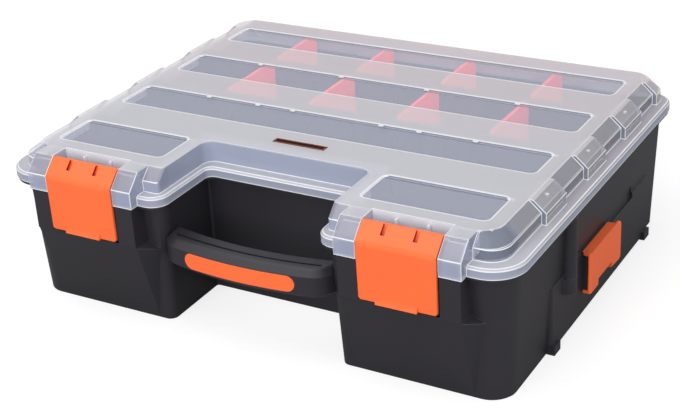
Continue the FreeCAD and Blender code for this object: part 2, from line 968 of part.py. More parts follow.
# Edge that runs up the front face of the latch, at one side
def is_upright(edge):
    low = edge.Vertexes[0].Point
    high = edge.Vertexes[-1].Point
    on_face = abs(low.y - latch_face) < tiny and abs(high.y - latch_face) < tiny
    return on_face and abs(low.x - high.x) < tiny


def make_latch_pin():
    half = latch_opening / 2 + lid_wall
    return rod_x(latch_pin_radius, (pod_center - half, pod_center + half), latch_pin_y, latch_pin_z)


def make_hinge_pin(side):
    middle, lid_half, near, outer = hinge_spans(side)
    return rod_x(hinge_pin_radius, (middle - outer, middle + outer), hinge_y, hinge_z)


# Right side clip: an outer plate that flares at its finger end, with a flange above and below
def make_clip():
    end = clip_front + clip_length
    bend = clip_front + clip_lip_start * clip_length
    height = (clip_bottom, clip_top)
    corner = clip_ear_radius / 2
    plate = plan_profile(
        [
            (clip_face - corner, clip_front),
            (clip_face, clip_front + corner),
            (clip_face, bend),
            (clip_face + clip_lip, end),
            (clip_back + clip_lip, end),
            (clip_back, bend),
            (clip_back, clip_front),
        ],
        height,
    )
    plate = rounded_edges(plate, clip_corner_radius, is_clip_corner)
    pieces = [plate]
    inner = clip_pin_x - clip_ear_radius
    cut_corner = clip_ear_radius * (2 - math.sqrt(2))
    flange_end = end - 2 * clip_corner_radius
    flange_points = [
        (clip_back + clip_thickness / 2, clip_front),
        (clip_back + clip_thickness / 2, flange_end),
        (inner, flange_end),
        (inner, clip_front + cut_corner),
        (inner + cut_corner, clip_front),
    ]
    for low in (clip_bottom, clip_top - clip_flange):
        pieces.append(plan_profile(flange_points, (low, low + clip_flange)))
    notch_start = clip_front + clip_notch_front
    notch_span = (notch_start, notch_start + clip_notch_length)
    notch = box((0, far), notch_span, (0, clip_bottom + clip_notch_height))
    bore = rod_z(clip_pin_radius + running_clearance, clip_pin_x, clip_pin_y, height)
    return joined(pieces).cut([notch, bore])


# Edge through the clip plate at its finger end, above or below
def is_clip_corner(edge):
    place = edge.BoundBox
    return place.YMin > clip_front + clip_length - tiny and place.ZLength < tiny


def make_clip_pin():
    return rod_z(clip_pin_radius, clip_pin_x, clip_pin_y, (clip_bottom, clip_top))


# Handle seen from above: a bowed bar whose ends turn back into the pods, all arcs on shared centres
def handle_plan(inset, depth):
    bow_y = handle_bow_radius - handle_front
    turn = handle_bow_radius - handle_end_radius
    angle = math.asin((handle_reach - handle_end_radius) / turn)
    turn_center = Vector(turn * math.sin(angle), bow_y - turn * math.cos(angle), 0)
    bow_radius = handle_bow_radius - inset
    end_radius = handle_end_radius - inset
    half_angle = (angle + math.pi / 2) / 2
    joint = Vector(bow_radius * math.sin(angle), bow_y - bow_radius * math.cos(angle), 0)
    middle = turn_center + Vector(end_radius * math.sin(half_angle), -end_radius * math.cos(half_angle), 0)
    finish = turn_center + Vector(end_radius, 0, 0)
    rear_radius = handle_bow_radius - depth
    corner = Vector(finish.x, bow_y - math.sqrt(rear_radius ** 2 - finish.x ** 2), 0)
    half_edges = [
        Part.Arc(joint, middle, finish).toShape(),
        Part.LineSegment(finish, corner).toShape(),
    ]
    bow = Part.Arc(Vector(-joint.x, joint.y, 0), Vector(0, bow_y - bow_radius, 0), joint).toShape()
    back = Part.Arc(Vector(-corner.x, corner.y, 0), Vector(0, bow_y - rear_radius, 0), corner).toShape()
    edges = with_mirrors(half_edges) + [bow, back]
    return Part.Face(Part.Wire(Part.__sortEdges__(edges)))


def handle_bar(inset, low, high):
    bar = handle_plan(inset, handle_depth).extrude(Vector(0, 0, high - low))
    bar.translate(Vector(0, 0, low))
    return bar


# Long round-ended plug through the front of the bar
def stadium(length, height):
    radius = height / 2
    y_range = (-handle_front - wall, -handle_front + handle_depth / 2)
    middle = handle_bottom + handle_height / 2
    straight = length / 2 - radius
    body = box((-straight, straight), y_range, (middle - radius, middle + radius))
    ends = []
    for side in (-1, 1):
        start = Vector(side * straight, y_range[0], middle)
        ends.append(Part.makeCylinder(radius, y_range[1] - y_range[0], start, Vector(0, 1, 0)))
    return joined([body] + ends)


# Groove along the top of the bar, behind its front ridge
def handle_groove():
    low = handle_bottom + handle_height - handle_groove_depth
    center = Vector(0, handle_bow_radius - handle_front, low)
    ridge_radius = handle_bow_radius - handle_groove_back
    ridge = Part.makeCylinder(ridge_radius, handle_height, center)
    behind = Part.makeCylinder(ridge_radius - handle_groove_width, handle_height, center)
    half = handle_groove_length / 2
    stretch = box((-half, half), (-far, 0), (low, low + handle_height))
    return ridge.cut(behind).common(stretch)


# Edge round the front of the bar, above or below
def is_front_edge(edge):
    level = edge.BoundBox.ZLength < tiny
    return level and edge.CenterOfMass.y < handle_depth / 2 - handle_front


def make_handle():
    top = handle_bottom + handle_height
    bar = handle_bar(0, handle_bottom, top)
    bar = bar.makeChamfer(handle_edge, [edge for edge in bar.Edges if is_front_edge(edge)])
    pocket = stadium(inlay_length + 2 * inlay_clearance, inlay_height + 2 * inlay_clearance)
    pocket = pocket.cut(handle_bar(inlay_depth, 0, case_height))
    pods = lofted([(tub_outline(0, 1), 0), (tub_outline(0, 0), tub_top)])
    return bar.cut([pocket, handle_groove(), pods])


def make_inlay():
    inlay = stadium(inlay_length, inlay_height).common(handle_bar(-inlay_proud, 0, case_height))
    return inlay.cut(handle_bar(inlay_depth, 0, case_height))


def make_all():
    latch = make_latch()
    latch_pin = make_latch_pin()
    clip = make_clip()
    clip_pin = make_clip_pin()
    pod = pod_wall()
    pieces = {
        "base_shell": make_tub(),
        "rear_row_wall": row_wall(rear_row_wall_place),
        "middle_row_wall": row_wall(middle_row_wall_place),
        "front_wall_right": pod,
        "front_wall_left": mirrored(pod),
        "lid_shell": make_lid(),
        "label_plate": make_label(),
        "latch_right": latch,
        "latch_left": mirrored(latch),
        "latch_pin_right": latch_pin,
        "latch_pin_left": mirrored(latch_pin),
        "side_clip_right": clip,
        "side_clip_left": mirrored(clip),
        "clip_pin_right": clip_pin,
        "clip_pin_left": mirrored(clip_pin),
        "hinge_pin_right": make_hinge_pin(1),
        "hinge_pin_left": make_hinge_pin(-1),
        "carry_handle": make_handle(),
        "handle_inlay": make_inlay(),
    }
    pieces.update(make_dividers())
    return pieces


os.makedirs("parts", exist_ok=True)
for name, shape in make_all().items():
    shape.exportStep(f"parts/{name}.step")
    size = shape.BoundBox
    print(f"{name}: {len(shape.Solids)} solid, valid {shape.isValid()}, {shape.Volume / 1000:.1f} cm3")
    print(f"  {size.XLength:.1f} x {size.YLength:.1f} x {size.ZLength:.1f} mm")
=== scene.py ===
import json
import math

import bpy
import numpy as np
from mathutils import Euler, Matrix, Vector


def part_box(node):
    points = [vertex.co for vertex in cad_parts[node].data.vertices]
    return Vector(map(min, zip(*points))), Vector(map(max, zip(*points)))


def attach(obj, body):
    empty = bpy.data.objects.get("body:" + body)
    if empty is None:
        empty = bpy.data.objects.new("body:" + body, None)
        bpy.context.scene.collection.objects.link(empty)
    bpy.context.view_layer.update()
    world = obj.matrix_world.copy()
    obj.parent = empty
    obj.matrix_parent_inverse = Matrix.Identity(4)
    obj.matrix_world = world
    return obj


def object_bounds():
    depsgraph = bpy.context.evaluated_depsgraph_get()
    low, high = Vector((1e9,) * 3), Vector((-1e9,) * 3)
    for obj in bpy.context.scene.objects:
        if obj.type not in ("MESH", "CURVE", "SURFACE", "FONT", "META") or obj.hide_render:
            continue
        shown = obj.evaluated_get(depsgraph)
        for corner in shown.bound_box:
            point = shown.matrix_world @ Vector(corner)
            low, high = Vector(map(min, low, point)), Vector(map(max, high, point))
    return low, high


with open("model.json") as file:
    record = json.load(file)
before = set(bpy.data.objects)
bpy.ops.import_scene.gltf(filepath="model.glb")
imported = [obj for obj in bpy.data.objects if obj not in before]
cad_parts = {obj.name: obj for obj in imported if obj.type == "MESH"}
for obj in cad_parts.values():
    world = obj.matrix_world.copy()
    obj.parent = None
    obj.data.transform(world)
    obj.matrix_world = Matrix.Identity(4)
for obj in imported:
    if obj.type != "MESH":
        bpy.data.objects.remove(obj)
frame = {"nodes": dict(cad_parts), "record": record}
nodes = frame["nodes"]
cadBox = [list(corner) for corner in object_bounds()]
print("frame loaded:", len(nodes), "pieces")


# A colour as seen on a screen (0 to 255) turned into the linear values that a shader takes
def screen(red, green, blue):
    share = np.array([red, green, blue]) / 255
    linear = np.where(share <= 0.04045, share / 12.92, ((share + 0.055) / 1.055) ** 2.4)
    return (*linear.tolist(), 1.0)


# One value inside a node tree. Sums, products and the rest add Math nodes
class Flow:
    def __init__(self, owner, socket):
        self.owner = owner
        self.socket = socket

    def maths(self, kind, *values, clamp=False):
        settings = {"operation": kind, "use_clamp": clamp}
        return self.owner.node("ShaderNodeMath", settings, dict(enumerate(values)))

    def __add__(self, other):
        return self.maths("ADD", self, other)

    def __radd__(self, other):
        return self.maths("ADD", other, self)

    def __sub__(self, other):
        return self.maths("SUBTRACT", self, other)

    def __rsub__(self, other):
        return self.maths("SUBTRACT", other, self)

    def __mul__(self, other):
        return self.maths("MULTIPLY", self, other)

    def __rmul__(self, other):
        return self.maths("MULTIPLY", other, self)

    def __truediv__(self, other):
        return self.maths("DIVIDE", self, other)

    def __rtruediv__(self, other):
        return self.maths("DIVIDE", other, self)

    def __neg__(self):
        return self.maths("MULTIPLY", self, -1.0)

    def __abs__(self):
        return self.maths("ABSOLUTE", self)

    def atLeast(self, other):
        return self.maths("MAXIMUM", self, other)

    def atMost(self, other):
        return self.maths("MINIMUM", self, other)

    # The long side of a right triangle
    def hypot(self, other):
        return self.maths("SQRT", self * self + other * other)

    # 0 below start, 1 above end, a straight rise between
    def rise(self, start, end):
        return self.maths("DIVIDE", self - start, end - start, clamp=True)

    # 1 below start, 0 above end
    def fall(self, start, end):
        return 1 - self.rise(start, end)

    # 1 above a limit. For a length, the change takes a tenth of a millimetre unless told otherwise
    def above(self, limit, fade=0.0001):
        return self.rise(limit, limit + fade)

    def below(self, limit, fade=0.0001):
        return self.fall(limit, limit + fade)

    # A share from 0 to 1 spread between two ends
    def spread(self, low, high):
        return low + (high - low) * self


# A tree of nodes, filled one node at a time
class NodeTree:
    def __init__(self, tree):
        self.tree = tree
        self.tree.nodes.clear()

    # Any node: its type, its settings, then the values or links of its sockets
    def node(self, kind, settings=None, inputs=None, output=0):
        made = self.tree.nodes.new(kind)
        for key, value in (settings or {}).items():
            setattr(made, key, value)
        for key, value in (inputs or {}).items():
            if isinstance(value, Flow):
                self.tree.links.new(value.socket, made.inputs[key])
            else:
                made.inputs[key].default_value = value
        return Flow(self, made.outputs[output]) if made.outputs else made

    def parts(self, vector):
        return [self.node("ShaderNodeSeparateXYZ", None, {0: vector}, axis) for axis in "XYZ"]


# A material with its own node tree
class Finish(NodeTree):
    def __init__(self, name):
        self.material = bpy.data.materials.new(name)
        self.material.use_nodes = True
        super().__init__(self.material.node_tree)

    def place(self):
        return self.node("ShaderNodeTexCoord", output="Object")

    def noise(self, where, scale, detail):
        inputs = {"Vector": where, "Scale": scale, "Detail": detail}
        return self.node("ShaderNodeTexNoise", None, inputs, "Fac")

    def mix(self, share, first, second):
        return self.node("ShaderNodeMix", {"data_type": "RGBA"}, {0: share, 6: first, 7: second}, 2)

    def bump(self, height, strength, distance):
        inputs = {"Height": height, "Strength": strength, "Distance": distance}
        return self.node("ShaderNodeBump", None, inputs)

    def surface(self, **inputs):
        named = {key.replace("_", " "): value for key, value in inputs.items()}
        return self.node("ShaderNodeBsdfPrincipled", None, named)

    def done(self, shader):
        self.node("ShaderNodeOutputMaterial", None, {"Surface": shader})
        return self.material


# Moulded black plastic: satin, with fine grain and slight unevenness
blackPlastic = {
    "dark": screen(36, 34, 39),
    "light": screen(48, 46, 51),
    "roughness": (0.38, 0.50),
    "gloss": 0.40,
    "glow": 0.0,
    "grainScale": 1900.0,
    "grainDepth": 0.00003,
}

# Orange moulded plastic. Only the latches reach up to where painted shade darkens the two grooves
orangePlastic = {
    "dark": screen(248, 104, 53),
    "light": screen(255, 116, 63),
    "roughness": (0.34, 0.44),
    "gloss": 0.40,
    "glow": 0.0,
    "grainScale": 1500.0,
    "grainDepth": 0.00002,
    # Painted shade: the dark red laid inside the grooves
    "grooves": {
        "colour": screen(168, 34, 16),
        "middle": 0.1305,
        "spacing": 0.0240,
        "width": 0.0036,
        "slopeY": -0.158,
        "slopeZ": 0.1247,
        "inward": (0.704, -0.710),
        "depth": (-0.0003, 0.0014),
        "lowest": 0.1160,
        "fade": 0.0002,
    },
}

# The dividers are thin and slightly clear. Their glow is painted light, standing in for the light they carry
# inside the case
dividerPlastic = {
    "dark": screen(250, 62, 52),
    "light": screen(255, 80, 66),
    "roughness": (0.32, 0.42),
    "gloss": 0.5,
    # Painted glow
    "glow": 0.42,
    "grainScale": 1500.0,
    "grainDepth": 0.00002,
}

# The unevenness that these three share
mouldedTexture = {"cloudScale": 14.0, "cloudDetail": 3.0, "grainDetail": 1.0, "grainStrength": 0.35}


# Painted shade in the grooves of a latch, cut off at a depth under its slope. The slope falls to the front, so
# depth grows with y and falls with z
def grooveShadeMask(x, y, z, groove):
    across = abs(abs(abs(x) - groove["middle"]) - groove["spacing"] / 2)
    yShare, zShare = groove["inward"]
    depth = (y - groove["slopeY"]) * yShare + (z - groove["slopeZ"]) * zShare
    start, end = groove["depth"]
    inside = across.below(groove["width"] / 2, groove["fade"]) * z.above(groove["lowest"])
    return inside * depth.above(start, groove["fade"]) * depth.below(end, groove["fade"])


def makePlasticFinish(name, settings, texture):
    finish = Finish(name)
    where = finish.place()
    cloud = finish.noise(where, texture["cloudScale"], texture["cloudDetail"])
    grain = finish.noise(where, settings["grainScale"], texture["grainDetail"])
    colour = finish.mix(cloud, settings["dark"], settings["light"])
    # The latch grooves get painted shade, darker where they sink under the slope
    if "grooves" in settings:
        mask = grooveShadeMask(*finish.parts(where), settings["grooves"])
        colour = finish.mix(mask, colour, settings["grooves"]["colour"])
    shader = finish.surface(
        Base_Color=colour,
        Roughness=cloud.spread(*settings["roughness"]),
        Normal=finish.bump(grain, texture["grainStrength"], settings["grainDepth"]),
        Specular_IOR_Level=settings["gloss"],
        # A glow is painted light; only the dividers are given one
        Emission_Color=settings["light"],
        Emission_Strength=settings["glow"],
    )
    return finish.done(shader)


# Clear lid: frosted bars and rim, with polished windows and walls between them. Each zone has a tone, and a
# cover that says how much one skin of the plastic hides there. A span is where a zone fades in or out: along
# x, y or z in metres, or along a part of the normal for the names that end in Facing. The windows and the bay
# of a latch are a span of x, taken to either side, and a span of y. Cloud and grain are the scale and the
# detail of a noise
lidPlastic = {
    "tones": {
        "wall": screen(176, 183, 205),
        "wallSide": screen(168, 168, 178),
        "window": screen(205, 207, 226),
        # The cheek's front is painted lighter and its slope darker by the way each face points: painted light
        # and shade
        "cheekFrontLit": screen(174, 180, 204),
        "cheekSlopeShaded": screen(150, 149, 163),
        "rear": screen(176, 172, 178),
        "frostFront": screen(202, 201, 207),
        "frostRear": screen(204, 196, 201),
        "rim": screen(172, 168, 177),
        "rimPale": screen(188, 189, 197),
        "rimSide": screen(168, 173, 192),
        "band": screen(176, 175, 182),
        # Painted highlight round the windows and along the lid's lowest edge
        "borderHighlight": screen(236, 236, 240),
        # Painted shade on the front faces of the steps
        "step": screen(122, 130, 148),
        "shade": screen(108, 114, 132),
        # Painted light on the wall of a latch bay, lighter to make up for the shade of the bay
        "bayWallPaintedLight": screen(224, 231, 242),
        "under": screen(196, 202, 216),
        # Painted highlight on the rounded edges of the lid
        "edge": screen(234, 235, 240),
    },
    "covers": {
        "wall": 0.42,
        "window": 0.29,
        "corner": 0.24,
        "notch": 0.66,
        "cheek": 0.62,
        "rear": 0.85,
        "frost": 0.72,
        "band": 0.50,
        "borderHighlight": 0.80,
        "step": 0.75,
        "shade": 0.66,
        "bayWallPaintedLight": 0.82,
        "under": 0.10,
        "lowEdgeHighlight": 0.85,
        "edge": 0.86,
    },
    "spans": {
        "rimTop": (0.1074, 0.1076),
        "rimFront": (-0.1632, -0.1630),
        "rimPale": (-0.130, -0.050),
        "rimFacing": (0.3, 0.6),
        "frostTint": (-0.05, 0.12),
        "barLevel": (0.1239, 0.1242),
        "windowLevel": (0.1231, 0.1234),
        "outline": (-0.0002, 0.0002),
        "borderInside": (-0.0001, 0.0001),
        "borderOutside": (0.00095, 0.0019),
        "underFacing": (-0.6, -0.4),
        "sideFront": (-0.125, -0.120),
        "side": (0.182, 0.183),
        "stepSide": (0.1815, 0.1820),
        "stepFoot": (0.1076, 0.1079),
        "stepFacing": (0.7, 0.8),
        "cheekBack": (-0.1405, -0.1400),
        "cheekSide": (0.176, 0.178),
        "cheekFacing": (0.3, 0.5),
        "cornerBack": (-0.130, -0.120),
        "notchBack": (-0.076, -0.075),
        "notchSide": (0.080, 0.081),
        "bayWallFront": (-0.1502, -0.1500),
        "bayWallBack": (-0.1390, -0.1388),
        "bayWallInner": (0.0985, 0.0995),
        "bayWallOuter": (0.1615, 0.1625),
        "bayWallFacing": (0.5, 0.7),
        "rearWall": (0.1560, 0.1562),
        "lowEdgeHighlight": (0.1002, 0.1004),
    },
    "windows": [
        ((-0.178, 0.178), (0.1027, 0.1347)),
        ((-0.178, 0.178), (0.0257, 0.0625)),
        ((-0.178, 0.178), (-0.0516, -0.0148)),
        ((0.083, 0.178), (-0.1302, -0.0920)),
    ],
    "windowCorner": 0.005,
    "shadeDepth": (0.0050, 0.0036),
    "shadeReach": 0.0010,
    "bay": ((0.0995, 0.1615), (-0.1590, -0.1405)),
    "bayCorner": 0.0005,
    "bayFrost": 0.7,
    "bands": [(-0.0901, -0.0536), (-0.0129, 0.0232), (0.0644, 0.1005), (0.1369, 0.1699)],
    "bandFade": 0.0002,
    "cloud": (22.0, 3.0),
    "cloudCover": 0.05,
    "grain": (1300.0, 1.0),
    "grainBump": (0.25, 0.00002),
    "roughness": (0.14, 0.42),
    "gloss": 0.5,
}


# Signed distance to a rectangle with rounded corners, in the plane of x and y
def roundedRectangle(x, y, xSpan, ySpan, corner):
    xOut = abs(x - sum(xSpan) / 2) - ((xSpan[1] - xSpan[0]) / 2 - corner)
    yOut = abs(y - sum(ySpan) / 2) - ((ySpan[1] - ySpan[0]) / 2 - corner)
    return xOut.atLeast(0).hypot(yOut.atLeast(0)) + xOut.atLeast(yOut).atMost(0) - corner


# The windows, a painted highlight in a border round them, and the painted shade inside their rear edges
def windowMasks(aside, y, settings):
    spans = settings["spans"]
    deep, shallow = settings["shadeDepth"]
    nearest, shade = 1.0, 0.0
    for xSpan, ySpan in settings["windows"]:
        back = ySpan[1]
        nearest = roundedRectangle(aside, y, xSpan, ySpan, settings["windowCorner"]).atMost(nearest)
        strip = y.rise(back - deep, back - shallow) * y.below(back + settings["shadeReach"])
        shade = strip.atLeast(shade)
    borderHighlight = nearest.rise(*spans["borderInside"]) * nearest.fall(*spans["borderOutside"])
    return nearest.fall(*spans["outline"]), borderHighlight, shade


# The stepped bands on the lid's sloped sides
def bandMask(y, settings):
    fade = settings["bandFade"]
    mask = 0.0
    for low, high in settings["bands"]:
        mask = (y.above(low, fade) * y.below(high, fade)).atLeast(mask)
    return mask


def makeLidFinish(name, settings):
    finish = Finish(name)
    tones, covers, spans = settings["tones"], settings["covers"], settings["spans"]
    where = finish.place()
    x, y, z = finish.parts(where)
    aside = abs(x)
    yFacing, zFacing = finish.parts(finish.node("ShaderNodeNewGeometry", output="Normal"))[1:]
    frontFacing = -yFacing
    cloud = finish.noise(where, *settings["cloud"])
    grain = finish.noise(where, *settings["grain"])

    under = zFacing.fall(*spans["underFacing"])
    bar = z.rise(*spans["barLevel"])
    rim = z.fall(*spans["rimTop"]) * y.rise(*spans["rimFront"])
    bay = roundedRectangle(aside, y, *settings["bay"], settings["bayCorner"]).fall(*spans["outline"])
    window, borderHighlight, shade = windowMasks(aside, y, settings)
    window = window * z.rise(*spans["windowLevel"])
    shade = shade * window
    borderHighlight = borderHighlight * bar * (1 - under)
    frost = (bar * (1 - window)).atLeast(rim).atLeast(settings["bayFrost"] * bay) * (1 - under)

    behindCorner = y.rise(*spans["sideFront"])
    side = aside.rise(*spans["side"]) * behindCorner
    # The front faces of the steps on the sides, darkened with painted shade
    step = aside.rise(*spans["stepSide"]) * z.rise(*spans["stepFoot"]) * behindCorner
    step = step * frontFacing.rise(*spans["stepFacing"])
    band = bandMask(y, settings) * aside.rise(*spans["side"]) * (1 - frost) * (1 - step)
    cheek = y.fall(*spans["cheekBack"]) * aside.fall(*spans["cheekSide"])
    corner = y.fall(*spans["cornerBack"]) * aside.rise(*spans["cheekSide"])
    notch = y.fall(*spans["notchBack"]) * aside.fall(*spans["notchSide"])
    # The front-facing wall of a latch bay, lightened with painted light
    bayWallPaintedLight = y.rise(*spans["bayWallFront"]) * y.fall(*spans["bayWallBack"])
    bayWallPaintedLight = bayWallPaintedLight * aside.rise(*spans["bayWallInner"]) * aside.fall(*spans["bayWallOuter"])
    bayWallPaintedLight = bayWallPaintedLight * frontFacing.rise(*spans["bayWallFacing"]) * (1 - bar)
    rear = y.rise(*spans["rearWall"]) * (1 - frost) * (1 - bar)
    # Painted highlight along the lid's lowest edge
    lowEdgeHighlight = z.fall(*spans["lowEdgeHighlight"])

    # Painted light and shade on the cheek: its tone follows the way each face points
    cheekLitAndShaded = finish.mix(zFacing.rise(*spans["cheekFacing"]), tones["cheekFrontLit"], tones["cheekSlopeShaded"])
    rimTone = finish.mix(notch.atLeast(y.fall(*spans["rimPale"])), tones["rim"], tones["rimPale"])
    rimTone = finish.mix(zFacing.rise(*spans["rimFacing"]), tones["rimSide"], rimTone)
    barTone = finish.mix(y.rise(*spans["frostTint"]), tones["frostFront"], tones["frostRear"])

    # Later layers lie over earlier ones. A layer without a tone changes only the cover
    layers = [
        ("window", window, tones["window"]),
        ("corner", corner, None),
        ("notch", notch, None),
        ("cheek", cheek, cheekLitAndShaded),
        ("rear", rear, tones["rear"]),
        ("frost", frost, finish.mix(rim, barTone, rimTone)),
        ("band", band, tones["band"]),
        ("borderHighlight", borderHighlight, tones["borderHighlight"]),
        ("step", step, tones["step"]),
        ("shade", shade, tones["shade"]),
        ("bayWallPaintedLight", bayWallPaintedLight, tones["bayWallPaintedLight"]),
        ("under", under, tones["under"]),
        ("lowEdgeHighlight", lowEdgeHighlight, tones["borderHighlight"]),
    ]
    colour = finish.mix(side, tones["wall"], tones["wallSide"])
    cover = covers["wall"]
    for zone, mask, tone in layers:
        cover = cover + (covers[zone] - cover) * mask
        if tone is not None:
            colour = finish.mix(mask, colour, tone)
    shader = finish.surface(
        Base_Color=colour,
        Roughness=frost.spread(*settings["roughness"]),
        Alpha=cover + settings["cloudCover"] * (cloud - 0.5) * frost,
        Normal=finish.bump(grain * frost, *settings["grainBump"]),
        Specular_IOR_Level=settings["gloss"],
    )
    return finish.done(shader)


# Painted highlight on the lid's rounded edges, and painted shade on the wall under a window's rear edge
lidEdges = {
    "cloud": (60.0, 2.0),
    "cloudCover": 0.1,
    "roughness": (0.30, 0.40),
    "shadeHeights": (0.1230, 0.1241),
    "endFade": 0.0005,
}


def makeLidEdgeHighlightFinish(name, settings, lid):
    finish = Finish(name)
    where = finish.place()
    x, y, z = finish.parts(where)
    aside = abs(x)
    cloud = finish.noise(where, *settings["cloud"])
    lowest, highest = settings["shadeHeights"]
    fade = settings["endFade"]
    rear = 0.0
    for (inner, outer), ySpan in lid["windows"]:
        near = abs(y - ySpan[1]).below(lid["shadeReach"])
        rear = (near * aside.above(inner, fade) * aside.below(outer - fade, fade)).atLeast(rear)
    rear = rear * z.above(lowest) * z.below(highest)
    shader = finish.surface(
        Base_Color=finish.mix(rear, lid["tones"]["edge"], lid["tones"]["shade"]),
        Roughness=cloud.spread(*settings["roughness"]),
        Alpha=lid["covers"]["edge"] + settings["cloudCover"] * (cloud - 0.5),
    )
    return finish.done(shader)


# Bare dark plate with a thin copper line round its edge
labelPlate = {
    "face": screen(24, 12, 8),
    "line": screen(186, 92, 54),
    "lineMetal": 0.8,
    "inset": 0.0006,
    "width": 0.0007,
    "cloud": (500.0, 2.0),
    "roughness": (0.55, 0.70),
    "gloss": 0.05,
}


def makeLabelFinish(name, settings):
    finish = Finish(name)
    where = finish.place()
    x, y = finish.parts(where)[:2]
    lowCorner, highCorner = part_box("label_plate")
    xHalf = (highCorner.x - lowCorner.x) / 2
    yHalf = (highCorner.y - lowCorner.y) / 2
    yMiddle = (highCorner.y + lowCorner.y) / 2
    depth = (xHalf - abs(x)).atMost(yHalf - abs(y - yMiddle))
    line = depth.above(settings["inset"]) * depth.below(settings["inset"] + settings["width"])
    cloud = finish.noise(where, *settings["cloud"])
    shader = finish.surface(
        Base_Color=finish.mix(line, settings["face"], settings["line"]),
        Metallic=settings["lineMetal"] * line,
        Roughness=cloud.spread(*settings["roughness"]),
        Specular_IOR_Level=settings["gloss"],
    )
    return finish.done(shader)


# Drawn wire with a fine, uneven polish
steelPin = {"colour": screen(188, 188, 192), "fine": (2500.0, 1.0), "roughness": (0.25, 0.40)}


def makeSteelFinish(name, settings):
    finish = Finish(name)
    fine = finish.noise(finish.place(), *settings["fine"])
    shader = finish.surface(
        Base_Color=settings["colour"],
        Metallic=1.0,
        Roughness=fine.spread(*settings["roughness"]),
    )
    return finish.done(shader)


finishes = {
    "black_plastic": makePlasticFinish("blackMoulded", blackPlastic, mouldedTexture),
    "clear_plastic": makeLidFinish("lidFrosted", lidPlastic),
    "orange_plastic": makePlasticFinish("orangeMoulded", orangePlastic, mouldedTexture),
    "divider_plastic": makePlasticFinish("dividerMoulded", dividerPlastic, mouldedTexture),
    "label_finish": makeLabelFinish("labelBare", labelPlate),
    "steel": makeSteelFinish("pinSteel", steelPin),
}
lidEdgeHighlightFinish = makeLidEdgeHighlightFinish("lidEdges", lidEdges, lidPlastic)
print("finishes made:", len(finishes) + 1)

# Angles between faces, in radians: an edge turned further than sharp is rounded, and one flatter than smooth
# is shaded as one surface
edgeAngles = {"sharp": 0.59, "fade": 0.01, "smooth": math.radians(34)}


# A small group of geometry nodes for a modifier. Its values add up as in a material
class Marks(NodeTree):
    def __init__(self, name):
        super().__init__(bpy.data.node_groups.new(name, "GeometryNodeTree"))
        for way in ("INPUT", "OUTPUT"):
            self.tree.interface.new_socket("Geometry", in_out=way, socket_type="NodeSocketGeometry")
        self.start = self.node("NodeGroupInput")
        self.angle = self.node("GeometryNodeInputMeshEdgeAngle")

    def place(self):
        return self.parts(self.node("GeometryNodeInputPosition"))

    def sharper(self, angle):
        return self.angle.above(angle, edgeAngles["fade"])

    def done(self, geometry):
        self.node("NodeGroupOutput", None, {0: geometry})
        return self.tree

    # The share of the bevel's width that each edge takes
    def weigh(self, weight):
        inputs = {"Geometry": self.start, "Name": "bevel_weight_edge", "Value": weight}
        return self.done(self.node("GeometryNodeStoreNamedAttribute", {"domain": "EDGE"}, inputs))


# Shade smooth across edges flatter than an angle. A top height, where given, cuts off what stands above it
def smoothGroup(name, limit, top=None):
    marks = Marks(name)
    shape = marks.start
    if top is not None:
        x, y, z = marks.place()
        trimmed = marks.node("ShaderNodeCombineXYZ", None, {0: x, 1: y, 2: z.atMost(top)})
        shape = marks.node("GeometryNodeSetPosition", None, {"Geometry": shape, "Position": trimmed})
    flat = marks.node("FunctionNodeCompare", {"operation": "LESS_THAN"}, {0: marks.angle, 1: limit})
    faces = marks.node("GeometryNodeSetShadeSmooth", None, {"Geometry": shape})
    edges = {"Geometry": faces, "Shade Smooth": flat}
    return marks.done(marks.node("GeometryNodeSetShadeSmooth", {"domain": "EDGE"}, edges))


# Where the lid's edges lie, in metres, and their angles in radians. The corner where a side begins at the front
# stays out of the wide rounding. The hinge side, the sides of the latch pockets and the upper ends of the steps
# stay out of the fine one
lidEdgePlaces = {
    "top": 0.1244,
    "topAngle": 0.52,
    "slopeAngle": 1.04,
    "notchBack": -0.0801,
    "notchSide": 0.0779,
    "stepCorner": (0.1845, -0.1393),
    "stepCornerReach": 0.0026,
    "hingeSide": 0.1612,
    "pocketMiddle": 0.1305,
    "pocketHalf": 0.0322,
    "pocketSideReach": 0.0006,
    "pocketTop": 0.1224,
    "pocketRow": -0.1459,
    "pocketRowReach": 0.0052,
    "stepTopSpan": (0.1868, 0.1906),
    "stepTop": 0.1238,
}


# The lid's top edges that are rounded most: where the top meets the sloped sides, and round the notch
def lidTopEdges(places):
    marks = Marks("lidTopEdges")
    x, y, z = marks.place()
    xCorner, yCorner = places["stepCorner"]
    sloped = 1 - marks.sharper(places["slopeAngle"])
    notch = y.below(places["notchBack"]) * abs(x).below(places["notchSide"])
    clear = (abs(x) - xCorner).hypot(y - yCorner).above(places["stepCornerReach"])
    top = z.above(places["top"]) * marks.sharper(places["topAngle"]) * clear
    return marks.weigh(top * sloped.atLeast(notch))


# The lid's other sharp edges
def lidFineEdges(places):
    marks = Marks("lidFineEdges")
    x, y, z = marks.place()
    aside = abs(x)
    pocketSide = abs(abs(aside - places["pocketMiddle"]) - places["pocketHalf"])
    pocket = pocketSide.below(places["pocketSideReach"]) * z.below(places["pocketTop"])
    pocket = pocket * abs(y - places["pocketRow"]).below(places["pocketRowReach"])
    inner, outer = places["stepTopSpan"]
    stepTop = aside.above(inner) * aside.below(outer) * z.above(places["stepTop"])
    sharp = marks.sharper(edgeAngles["sharp"]) * y.below(places["hingeSide"])
    return marks.weigh(sharp * (1 - pocket) * (1 - stepTop))


